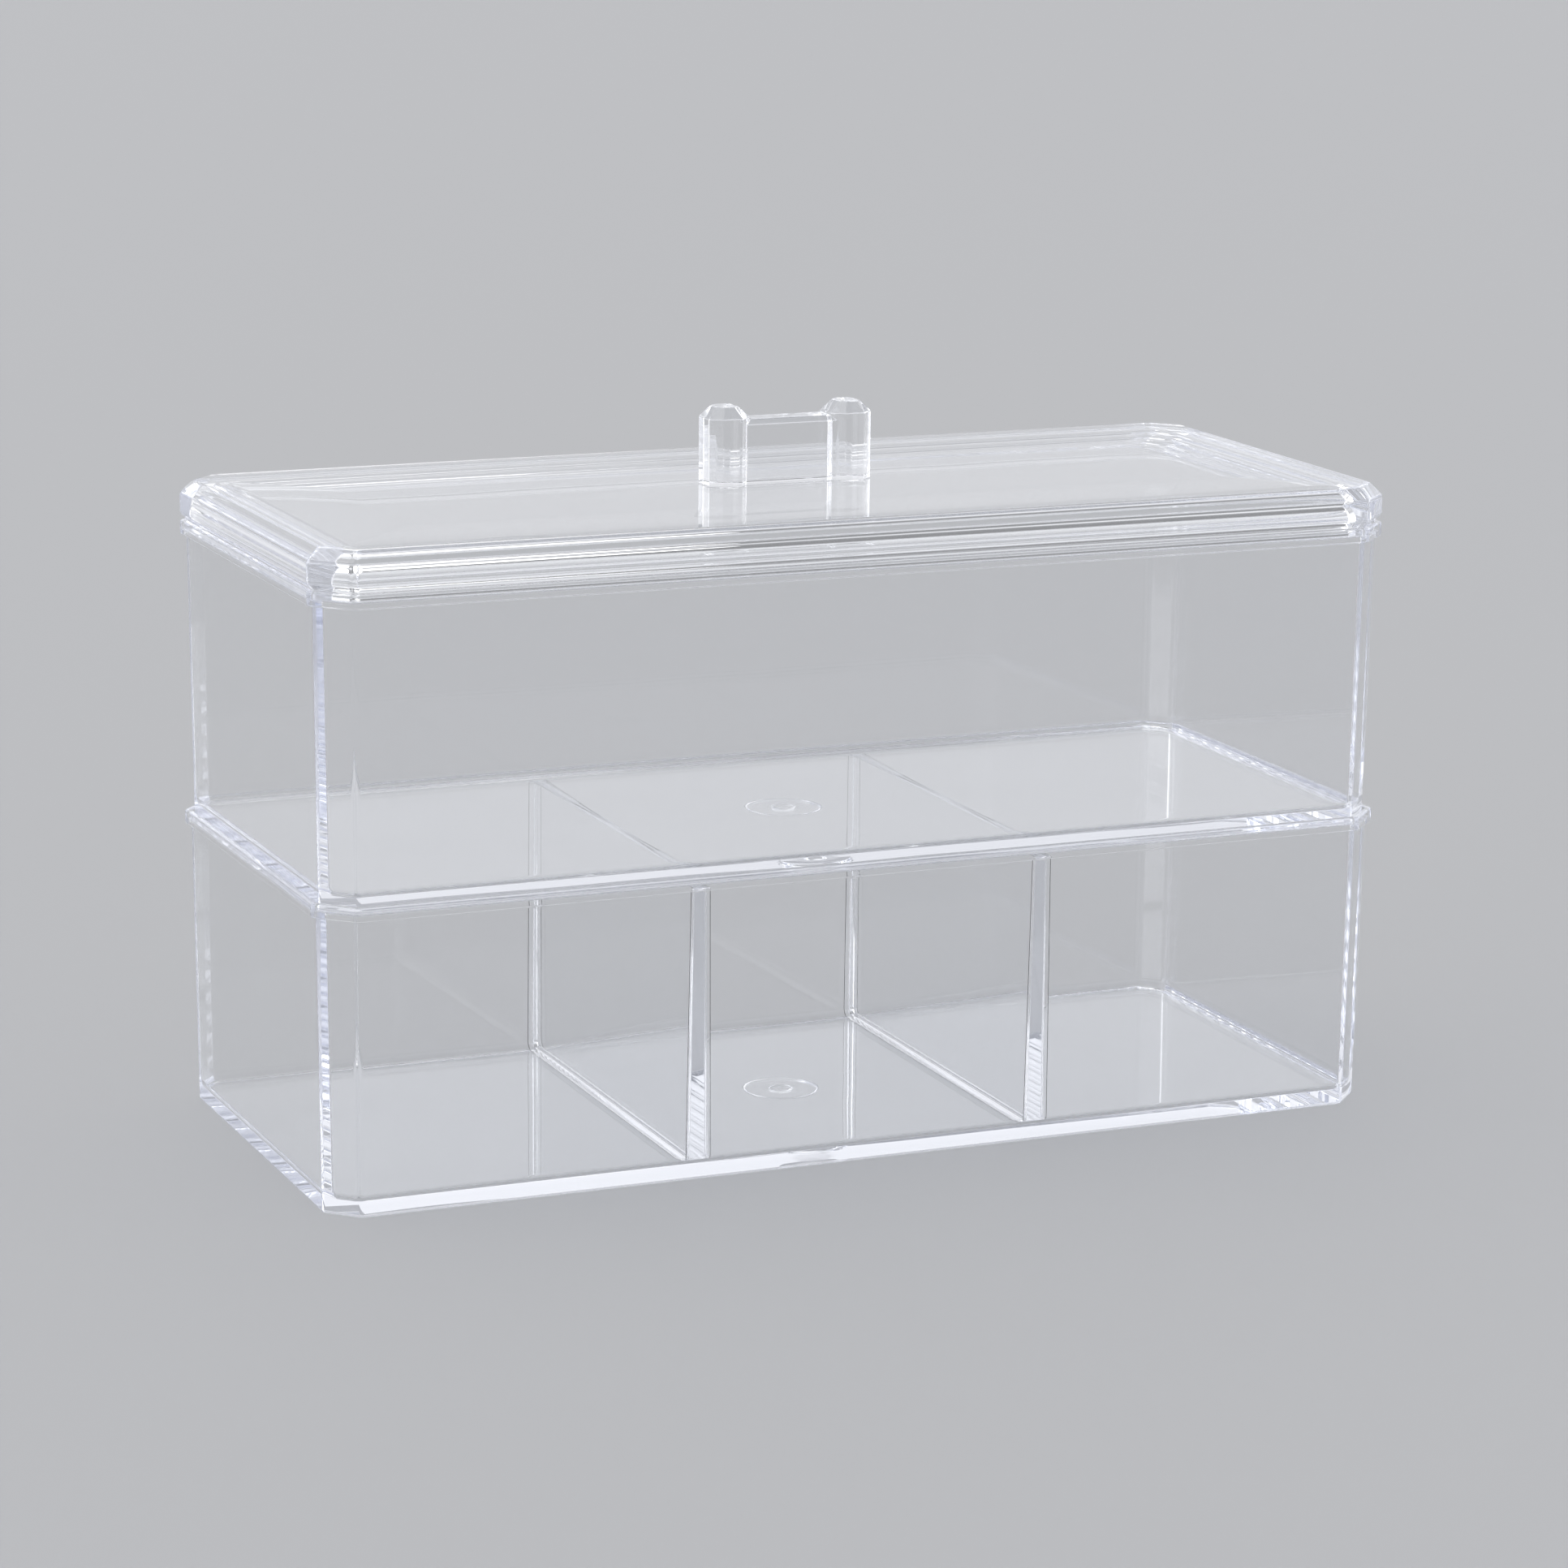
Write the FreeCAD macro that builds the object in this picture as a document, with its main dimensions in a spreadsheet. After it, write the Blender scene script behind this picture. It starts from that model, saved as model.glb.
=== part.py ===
"""Two-tier clear storage box: two stacking trays, two divider panels, a lid and its grip.

Millimetres, +Z up. The origin is the middle of the lower tray's underside, with the long
side along X. Each tray's foot drops into the rim of the tray below and rests on a ledge
there, and the lid has a foot of the same outline, so everything lifts straight up.
"""
import FreeCAD, Part
import os
from typing import NamedTuple

import Sketcher
from FreeCAD import Placement, Rotation, Vector

SIZES = (
    ("rim_length", 190.0, "outside length over a tray's rim"),
    ("rim_width", 82.0, "outside width over a tray's rim"),
    ("corner_cut", 5.8, "flat cut across the rim's upright corners, along each side"),
    ("tray_height", 51.2, "underside of a tray to the top of its rim"),
    ("rim_height", 2.4, "height of the band round a tray's mouth"),
    ("rim_step", 0.95, "how far that band stands out from the wall"),
    ("wall_draft", 0.62, "outward lean of the walls, in degrees"),
    ("wall_thickness", 2.0, "thickness of a tray's walls"),
    ("hollow_cut", 2.4, "flat cut across a tray's corners inside, at the floor"),
    ("floor_thickness", 2.2, "thickness of a tray's floor"),
    ("floor_fillet", 1.5, "rounding inside a tray, where the walls meet the floor"),
    ("foot_fillet", 0.6, "rounding outside a tray, under its foot"),
    ("nest_depth", 1.5, "how deep a foot sits in the rim below it"),
    ("nest_clearance", 0.35, "play between a foot and the rim round it"),
    ("gate_diameter", 12.5, "ring-shaped moulding mark under a tray's floor"),
    ("gate_nub_diameter", 4.0, "stub left standing inside that ring"),
    ("gate_depth", 0.5, "depth of the ring"),
    ("divider_base", 2.6, "thickness of a divider at the floor"),
    ("divider_top", 1.6, "thickness of a divider at its upper edge"),
    ("divider_drop", 0.8, "from a divider's upper edge up to the ledge"),
    ("bond_gap", 0.1, "cement line between a divider's ends and the walls"),
    ("lid_height", 6.8, "lid's top above the rim that it closes"),
    ("lid_top_bevel", 2.2, "bevel round the lid's top"),
    ("lid_bottom_bevel", 1.2, "bevel under the lid's edge"),
    ("lid_plate", 3.0, "thickness of the lid's flat middle"),
    ("lid_border", 5.5, "width of the lid's thick border"),
    ("lid_inner_cut", 2.2, "flat cut across the corners inside that border"),
    ("lid_fillet", 3.0, "rounding where the border meets the flat middle"),
    ("grip_length", 29.5, "length of the grip over both posts"),
    ("post_width", 7.4, "width of a grip post along the grip"),
    ("post_depth", 8.4, "depth of a grip post across the grip"),
    ("post_corner", 2.0, "cut on a post's upright corners"),
    ("post_height", 13.2, "height of a grip post"),
    ("post_bevel", 1.8, "bevel round a post's top"),
    ("web_depth", 6.0, "depth of the web between the posts"),
    ("web_height", 11.0, "height of that web"),
    ("web_bevel", 0.8, "bevel along the web's top"),
)


class Outline(NamedTuple):
    """A rectangle with cut corners round the Z axis, with its sizes as expressions."""

    length: str
    width: str
    cut: str

    def grown(self, amount):
        """The same outline moved outward on every side."""
        return Outline(
            f"({self.length} + 2 * ({amount}))",
            f"({self.width} + 2 * ({amount}))",
            f"({self.cut} + (2 - sqrt(2)) * ({amount}))",
        )


LEAN = "tan(Sizes.wall_draft)"
BEVEL_LEAN = "45"
PITCH = "(Sizes.tray_height - Sizes.nest_depth)"
RIM = Outline("Sizes.rim_length", "Sizes.rim_width", "Sizes.corner_cut")
FOOT = RIM.grown(f"-Sizes.rim_step - Sizes.tray_height * {LEAN}")
HOLLOW_STEP = f"Sizes.floor_thickness * {LEAN} - Sizes.wall_thickness"
CAVITY = FOOT.grown(HOLLOW_STEP)._replace(cut="Sizes.hollow_cut")
NEST = FOOT.grown(f"Sizes.nest_depth * {LEAN} + Sizes.nest_clearance")
LID_INSIDE = RIM.grown("-Sizes.lid_border")._replace(cut="Sizes.lid_inner_cut")
LID_TOP = "(Sizes.nest_depth + Sizes.lid_height)"
LID_CEILING = f"({LID_TOP} - Sizes.lid_plate)"
CORNER_SHARE = 1.4
CAVITY_FILLET = f"min(Sizes.floor_fillet; {CORNER_SHARE} * {CAVITY.cut})"
LID_FILLET = f"min(Sizes.lid_fillet; {CORNER_SHARE} * {LID_INSIDE.cut})"
DIVIDER_HEIGHT = f"({PITCH} - Sizes.divider_drop - Sizes.floor_thickness)"
DIVIDER_FOOT = f"({CAVITY.width} - 2 * Sizes.bond_gap)"
DIVIDER_HEAD = f"({DIVIDER_FOOT} + 2 * {DIVIDER_HEIGHT} * {LEAN})"
POST_PITCH = "(Sizes.grip_length - Sizes.post_width)"

ORIGIN_POINT = (-1, 1)
START, END, CENTRE = 1, 2, 3
TOLERANCE = 1e-4

doc = FreeCAD.newDocument("clear_storage_box")
sheet = doc.addObject("Spreadsheet::Sheet", "Sizes")
for row, (alias, size, meaning) in enumerate(SIZES, start=1):
    sheet.set(f"A{row}", alias)
    sheet.set(f"B{row}", str(size))
    sheet.setAlias(f"B{row}", alias)
    sheet.set(f"C{row}", meaning)
doc.recompute()


def value(expression):
    """The number that an expression on the sheet's sizes gives."""
    return float(sheet.evalExpression(expression))


def new_body(label):
    """An empty body that carries its sub-part's name."""
    body = doc.addObject("PartDesign::Body", label)
    body.Label = label
    return body


def level_plane(body):
    """The body's own level plane, through its foot."""
    return next(plane for plane in body.Origin.OriginFeatures if plane.Role == "XY_Plane")


def new_sketch(body, name, height="0"):
    """A sketch on the body's level plane, raised by an expression."""
    sketch = body.newObject("Sketcher::SketchObject", f"{body.Name}_{name}")
    sketch.AttachmentSupport = [(level_plane(body), "")]
    sketch.MapMode = "FlatFace"
    sketch.setExpression("AttachmentOffset.Base.z", height)
    return sketch


def bind(sketch, name, kind, points, expression):
    """Measure between points of a sketch and tie the measure to the sheet."""
    numbers = [number for point in points for number in point]
    index = sketch.addConstraint(Sketcher.Constraint(kind, *numbers, value(expression)))
    sketch.renameConstraint(index, name)
    sketch.setExpression(f"Constraints.{name}", expression)


def relate(sketch, kind, *numbers):
    """Add a constraint that has no measure."""
    sketch.addConstraint(Sketcher.Constraint(kind, *numbers))


def draw_polygon(sketch, corners):
    """Draw the closed run of lines through some corners, and keep it closed."""
    lines = []
    for here, there in zip(corners, corners[1:] + corners[:1]):
        lines.append(sketch.addGeometry(Part.LineSegment(Vector(*here, 0), Vector(*there, 0))))
    for line, following in zip(lines, lines[1:] + lines[:1]):
        relate(sketch, "Coincident", line, END, following, START)
    return lines


def draw_eight_sides(sketch, middle, half_x, half_y, cut):
    """Draw a rectangle with cut corners round a point of the X axis.

    cut is the expression for how far each cut reaches along both sides.
    """
    off = value(cut)
    corners = [
        (middle - half_x + off, -half_y),
        (middle + half_x - off, -half_y),
        (middle + half_x, -half_y + off),
        (middle + half_x, half_y - off),
        (middle + half_x - off, half_y),
        (middle - half_x + off, half_y),
        (middle - half_x, half_y - off),
        (middle - half_x, -half_y + off),
    ]
    lines = draw_polygon(sketch, corners)
    front, right, back, left = lines[0::2]
    for line in (front, back):
        relate(sketch, "Horizontal", line)
    for line in (right, left):
        relate(sketch, "Vertical", line)
    for corner in (1, 3, 5, 7):
        line = lines[corner]
        here, there = corners[corner], corners[(corner + 1) % len(corners)]
        for axis, kind in enumerate(("DistanceX", "DistanceY")):
            low, high = (START, END) if here[axis] < there[axis] else (END, START)
            bind(sketch, f"cut_{corner}_{axis}", kind, [(line, low), (line, high)], cut)
    return front, right, back, left


def outline_sketch(body, name, outline, height="0"):
    """Sketch an outline round the Z axis."""
    sketch = new_sketch(body, name, height)
    half_x, half_y = value(outline.length) / 2, value(outline.width) / 2
    front, right, back, left = draw_eight_sides(sketch, 0, half_x, half_y, outline.cut)
    relate(sketch, "Symmetric", front, START, back, START, *ORIGIN_POINT)
    bind(sketch, "length", "DistanceX", [(left, START), (right, START)], outline.length)
    bind(sketch, "width", "DistanceY", [(front, START), (back, START)], outline.width)
    return sketch


def rectangle_sketch(body, name, length, width):
    """Sketch a plain rectangle round the Z axis."""
    sketch = new_sketch(body, name)
    half_x, half_y = value(length) / 2, value(width) / 2
    corners = [(-half_x, -half_y), (half_x, -half_y), (half_x, half_y), (-half_x, half_y)]
    front, right, back, left = draw_polygon(sketch, corners)
    for line in (front, back):
        relate(sketch, "Horizontal", line)
    for line in (right, left):
        relate(sketch, "Vertical", line)
    relate(sketch, "Symmetric", front, START, back, START, *ORIGIN_POINT)
    bind(sketch, "length", "DistanceX", [(front, START), (front, END)], length)
    bind(sketch, "width", "DistanceY", [(right, START), (right, END)], width)
    return sketch


def post_sketch(body, name, side):
    """Sketch a grip post's eight-sided section, on the left (-1) or the right (1)."""
    sketch = new_sketch(body, name)
    half_x, half_y = value("Sizes.post_width") / 2, value("Sizes.post_depth") / 2
    middle = side * value(POST_PITCH) / 2
    front, right, back, left = draw_eight_sides(sketch, middle, half_x, half_y, "Sizes.post_corner")
    bind(sketch, "across", "DistanceX", [(left, START), (right, START)], "Sizes.post_width")
    bind(sketch, "deep", "DistanceY", [(front, START), (back, START)], "Sizes.post_depth")
    bind(sketch, "back_face", "DistanceY", [ORIGIN_POINT, (back, START)], "Sizes.post_depth / 2")
    reach = [ORIGIN_POINT, (right, START)] if side > 0 else [(left, START), ORIGIN_POINT]
    bind(sketch, "reach", "DistanceX", reach, "Sizes.grip_length / 2")
    return sketch


def ring_sketch(body, name, outer, inner):
    """Sketch two circles round the Z axis, sized by their diameters."""
    sketch = new_sketch(body, name)
    for label, diameter in (("outer", outer), ("inner", inner)):
        circle = Part.Circle(Vector(), Vector(0, 0, 1), value(diameter) / 2)
        index = sketch.addGeometry(circle)
        relate(sketch, "Coincident", index, CENTRE, *ORIGIN_POINT)
        bind(sketch, label, "Diameter", [(index,)], diameter)
    return sketch


def pad(body, sketch, length, lean="0"):
    """Raise a sketch into material, with sides that may lean outward."""
    feature = body.newObject("PartDesign::Pad", f"{sketch.Name}_pad")
    feature.Profile = sketch
    feature.setExpression("Length", length)
    feature.setExpression("TaperAngle", lean)
    doc.recompute()
    return feature


def pocket(body, sketch, depth, upward=False, lean="0"):
    """Cut a sketch downward, or upward, and make sure that it took material away."""
    whole = body.Shape.Volume
    feature = body.newObject("PartDesign::Pocket", f"{sketch.Name}_pocket")
    feature.Profile = sketch
    feature.Reversed = upward
    feature.setExpression("Length", depth)
    feature.setExpression("TaperAngle", lean)
    doc.recompute()
    if feature.Shape.Volume > whole - TOLERANCE:
        raise RuntimeError(f"{feature.Name} cuts nothing")
    return feature


def level_edges(shape, height, along=None):
    """Names of the edges round each level face at a height.

    along keeps only the edges that run with an axis: 0 for X, 1 for Y.
    """
    names = []
    for face in shape.Faces:
        level = isinstance(face.Surface, Part.Plane) and abs(face.Surface.Axis.z) > 1 - TOLERANCE
        if not level or abs(face.CenterOfMass.z - height) > TOLERANCE:
            continue
        for number, edge in enumerate(shape.Edges, start=1):
            if not any(edge.isSame(side) for side in face.OuterWire.Edges):
                continue
            run = edge.Vertexes[-1].Point - edge.Vertexes[0].Point
            if along is None or abs(run[along]) > abs(run[1 - along]):
                names.append(f"Edge{number}")
    return names


def dress(body, base, kind, edges, size):
    """Round (Fillet) or bevel (Chamfer) some edges of the body so far."""
    feature = body.newObject(f"PartDesign::{kind}", f"{base.Name}_{kind}")
    feature.Base = (base, edges)
    feature.setExpression("Radius" if kind == "Fillet" else "Size", size)
    doc.recompute()
    return feature


def round_level(body, base, height, size, kind="Fillet", along=None):
    """Round or bevel the edges of the level faces at a height."""
    return dress(body, base, kind, level_edges(base.Shape, value(height), along), size)


def build_tray(label, level):
    """A drafted open tray: walls, rim band, hollow, ledge for the foot above, moulding mark."""
    body = new_body(label)
    body.setExpression("Placement.Base.z", level)
    pad(body, outline_sketch(body, "walls", FOOT), "Sizes.tray_height", "Sizes.wall_draft")
    band = outline_sketch(body, "band", RIM, "Sizes.tray_height - Sizes.rim_height")
    pad(body, band, "Sizes.rim_height")
    hollow = outline_sketch(body, "hollow", CAVITY, "Sizes.floor_thickness")
    depth = "Sizes.tray_height - Sizes.floor_thickness"
    pocket(body, hollow, depth, upward=True, lean="Sizes.wall_draft")
    seat = outline_sketch(body, "seat", NEST, "Sizes.tray_height")
    latest = pocket(body, seat, "Sizes.nest_depth")
    latest = round_level(body, latest, "Sizes.floor_thickness", CAVITY_FILLET)
    round_level(body, latest, "0", "Sizes.foot_fillet")
    mark = ring_sketch(body, "mark", "Sizes.gate_diameter", "Sizes.gate_nub_diameter")
    pocket(body, mark, "Sizes.gate_depth", upward=True)
    return body


def build_divider(label, side):
    """A panel across the lower tray, thinner at its head, one third in from an end wall."""
    body = new_body(label)
    body.setExpression("Placement.Base.x", f"{side} * {CAVITY.length} / 6")
    body.setExpression("Placement.Base.z", "Sizes.floor_thickness")
    panel = body.newObject("PartDesign::AdditiveWedge", f"{label}_panel")
    panel.AttachmentSupport = [(level_plane(body), "")]
    panel.MapMode = "FlatFace"
    panel.AttachmentOffset = Placement(Vector(), Rotation(Vector(1, 0, 0), 90))
    panel.Ymin = 0
    panel.setExpression("Ymax", DIVIDER_HEIGHT)
    spans = (
        ("X", "Sizes.divider_base"),
        ("X2", "Sizes.divider_top"),
        ("Z", DIVIDER_FOOT),
        ("Z2", DIVIDER_HEAD),
    )
    for span, size in spans:
        panel.setExpression(f"{span}min", f"-{size} / 2")
        panel.setExpression(f"{span}max", f"{size} / 2")
    doc.recompute()
    round_level(body, panel, "0", f"{CAVITY_FILLET} + Sizes.bond_gap", along=0)
    return body


def build_lid(label, level):
    """A bevelled plate with a thick border, a hollow underside and a foot that sits in a rim."""
    body = new_body(label)
    body.setExpression("Placement.Base.z", level)
    foot = outline_sketch(body, "foot", FOOT)
    pad(body, foot, "Sizes.nest_depth + Sizes.lid_bottom_bevel", "Sizes.wall_draft")
    flare = outline_sketch(body, "flare", RIM.grown("-Sizes.lid_bottom_bevel"), "Sizes.nest_depth")
    pad(body, flare, "Sizes.lid_bottom_bevel", BEVEL_LEAN)
    plate = outline_sketch(body, "plate", RIM, "Sizes.nest_depth + Sizes.lid_bottom_bevel")
    latest = pad(body, plate, "Sizes.lid_height - Sizes.lid_bottom_bevel")
    round_level(body, latest, LID_TOP, "Sizes.lid_top_bevel", "Chamfer")
    latest = pocket(body, outline_sketch(body, "hollow", LID_INSIDE), LID_CEILING, upward=True)
    round_level(body, latest, LID_CEILING, LID_FILLET)
    return body


def build_grip(label, level):
    """Two eight-sided posts with bevelled tops, joined by a solid web."""
    body = new_body(label)
    body.setExpression("Placement.Base.z", level)
    web = pad(body, rectangle_sketch(body, "web", POST_PITCH, "Sizes.web_depth"), "Sizes.web_height")
    round_level(body, web, "Sizes.web_height", "Sizes.web_bevel", "Chamfer", along=0)
    pad(body, post_sketch(body, "left_post", -1), "Sizes.post_height")
    posts = pad(body, post_sketch(body, "right_post", 1), "Sizes.post_height")
    round_level(body, posts, "Sizes.post_height", "Sizes.post_bevel", "Chamfer")
    return body


def write_parts(parts):
    """Check that everything was rebuilt soundly, then write one file for each sub-part."""
    doc.recompute()
    failed = [item.Label for item in doc.Objects if {"Invalid", "Error"} & set(item.State)]
    if failed:
        raise RuntimeError(f"not rebuilt: {failed}")
    for part in parts:
        if part.Shape.isNull() or not part.Shape.isValid() or len(part.Shape.Solids) != 1:
            raise RuntimeError(f"{part.Label} is not one sound solid")
    os.makedirs("parts", exist_ok=True)
    for part in parts:
        part.Shape.exportStep(os.path.join("parts", f"{part.Label}.step"))
        box = part.Shape.BoundBox
        print(f"{part.Label}: {part.Shape.Volume / 1000:.2f} cm3, z {box.ZMin:.2f} to {box.ZMax:.2f}")


write_parts([
    build_tray("lower_tray", "0"),
    build_divider("left_divider", -1),
    build_divider("right_divider", 1),
    build_tray("upper_tray", PITCH),
    build_lid("lid", f"2 * {PITCH}"),
    build_grip("lid_handle", f"2 * {PITCH} + {LID_TOP}"),
])
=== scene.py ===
"""Studio scene of a clear two-tier storage box.

Two stacking trays, two divider panels, a lift-off lid and its grip, all in clear moulded
plastic with flat-cut corners, stand on a pale floor under soft light. Lengths are in metres.
"""
import logging
import math
from collections.abc import Iterable, Mapping, Sequence
from dataclasses import dataclass
from enum import Enum
from typing import Any, NamedTuple

import bmesh
import bpy
from mathutils import Matrix, Vector


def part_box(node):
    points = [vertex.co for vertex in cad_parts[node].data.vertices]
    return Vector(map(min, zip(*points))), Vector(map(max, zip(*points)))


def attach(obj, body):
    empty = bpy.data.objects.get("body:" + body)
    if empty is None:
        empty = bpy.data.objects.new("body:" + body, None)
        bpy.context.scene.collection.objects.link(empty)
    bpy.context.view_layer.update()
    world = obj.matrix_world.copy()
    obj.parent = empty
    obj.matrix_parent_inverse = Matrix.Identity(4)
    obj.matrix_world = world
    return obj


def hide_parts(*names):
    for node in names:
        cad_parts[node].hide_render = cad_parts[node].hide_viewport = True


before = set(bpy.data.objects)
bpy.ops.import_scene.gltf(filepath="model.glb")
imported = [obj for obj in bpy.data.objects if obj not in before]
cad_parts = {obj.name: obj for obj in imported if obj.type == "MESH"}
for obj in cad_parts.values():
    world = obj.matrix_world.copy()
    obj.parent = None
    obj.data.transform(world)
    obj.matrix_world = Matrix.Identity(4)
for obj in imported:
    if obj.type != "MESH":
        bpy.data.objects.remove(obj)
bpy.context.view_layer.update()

log = logging.getLogger("storage_box")

# Fineness of the meshes
OUTLINE_CORNERS = 8
CORNER_POINTS = 8
EDGE_STEPS = 4
FILLET_STEPS = 8
MARK_STEPS = 2
COVE_STEPS = 6
BEVEL_STEPS = 3

# Angles that tell sharp edges from flat ones, and the pull of a flat face on its edges' shading
SHARP_ANGLE = math.radians(20)
FLAT_ANGLE = math.radians(1)
FLAT_FACE_PULL = 100

# Flat-cut corners: their turn, how much shorter a cut gets as its outline shrinks, the least cut
EIGHTH_TURN = math.tau / OUTLINE_CORNERS
CUT_SHRINK = 2 - math.sqrt(2)
SMALLEST_CUT = 0.0006

# Air between a piece and its seat, so that two clear faces never lie in one plane
AIR_GAP = 0.00005

# Roughness of the frosted moulding mark in a tray's floor
TRAY_FROST = 0.28

# Numbers of a colour Mix node's sockets, whose names repeat
MIX_FACTOR, MIX_FIRST, MIX_SECOND, MIXED_COLOUR = 0, 6, 7, 2

Colour = tuple[float, float, float]
Levels = tuple[tuple[float, float], ...]
Section = list[tuple[float, float]]
Ring = list[Vector]


class Node(Enum):
    """The part's nodes."""

    LOWER_TRAY = "lower_tray"
    LEFT_DIVIDER = "left_divider"
    RIGHT_DIVIDER = "right_divider"
    UPPER_TRAY = "upper_tray"
    LID = "lid"
    GRIP = "lid_handle"


class Body(Enum):
    """The bodies that lift apart."""

    LOWER = "lower_tier"
    UPPER = "upper_tier"
    COVER = "cover"


class Wire:
    """A shader output that takes part in Python expressions."""

    def __init__(self, sheet: "ShaderSheet", socket: bpy.types.NodeSocket) -> None:
        """Wrap one output socket of a sheet's node."""
        self.sheet = sheet
        self.socket = socket

    def __add__(self, other: "Wire | float") -> "Wire":
        """Add a value."""
        return self.sheet.math("ADD", self, other)

    def __radd__(self, other: float) -> "Wire":
        """Add to a number."""
        return self.sheet.math("ADD", other, self)

    def __mul__(self, other: "Wire | float") -> "Wire":
        """Multiply by a value."""
        return self.sheet.math("MULTIPLY", self, other)

    def __rmul__(self, other: float) -> "Wire":
        """Multiply a number."""
        return self.sheet.math("MULTIPLY", other, self)


class ShaderSheet:
    """The node tree of one material or of the world."""

    def __init__(self, tree: bpy.types.NodeTree) -> None:
        """Start from an empty tree."""
        self.tree = tree
        tree.nodes.clear()

    def node(
        self,
        kind: str,
        settings: Mapping[str, Any] | None = None,
        sockets: Mapping[str | int, Any] | None = None,
    ) -> bpy.types.Node:
        """Add a node, set it up, then fill its sockets.

        Args:
            kind: The node's type, without its ShaderNode prefix.
            settings: The node's own properties. A ramp's stops are (place, colour) pairs.
            sockets: Plain values or wires, by input name or number.

        Returns:
            The new node.
        """
        made = self.tree.nodes.new(f"ShaderNode{kind}")
        for name, value in (settings or {}).items():
            if name == "stops":
                self._set_stops(made.color_ramp, value)
            else:
                setattr(made, name, value)
        for name, value in (sockets or {}).items():
            if isinstance(value, Wire):
                self.tree.links.new(value.socket, made.inputs[name])
            else:
                made.inputs[name].default_value = value
        return made

    def wire(
        self,
        kind: str,
        output: str | int = 0,
        settings: Mapping[str, Any] | None = None,
        sockets: Mapping[str | int, Any] | None = None,
    ) -> Wire:
        """Add a node as node() does and return one of its outputs."""
        return Wire(self, self.node(kind, settings, sockets).outputs[output])

    def math(self, operation: str, first: "Wire | float", second: "Wire | float") -> Wire:
        """Add one Math node on two values."""
        return self.wire("Math", settings={"operation": operation}, sockets={0: first, 1: second})

    def stretch(self, place: Wire, factors: tuple[float, float, float]) -> Wire:
        """Multiply a place by a factor along each axis."""
        return self.wire(
            "VectorMath", settings={"operation": "MULTIPLY"}, sockets={0: place, 1: factors}
        )

    def noise(self, place: Wire, scale: float, detail: float) -> Wire:
        """Smooth noise over a place."""
        return self.wire("TexNoise", sockets={"Vector": place, "Scale": scale, "Detail": detail})

    @staticmethod
    def _set_stops(ramp: bpy.types.ColorRamp, stops: Sequence[tuple[float, Colour]]) -> None:
        """Give a colour ramp its stops.

        Args:
            ramp: The ramp, as it comes with its node.
            stops: Places from 0 to 1, in order, each with its colour.
        """
        while len(ramp.elements) < len(stops):
            ramp.elements.new(1.0)
        for element, (place, colour) in zip(ramp.elements, stops):
            element.position = place
            element.color = (*colour, 1.0)


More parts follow.
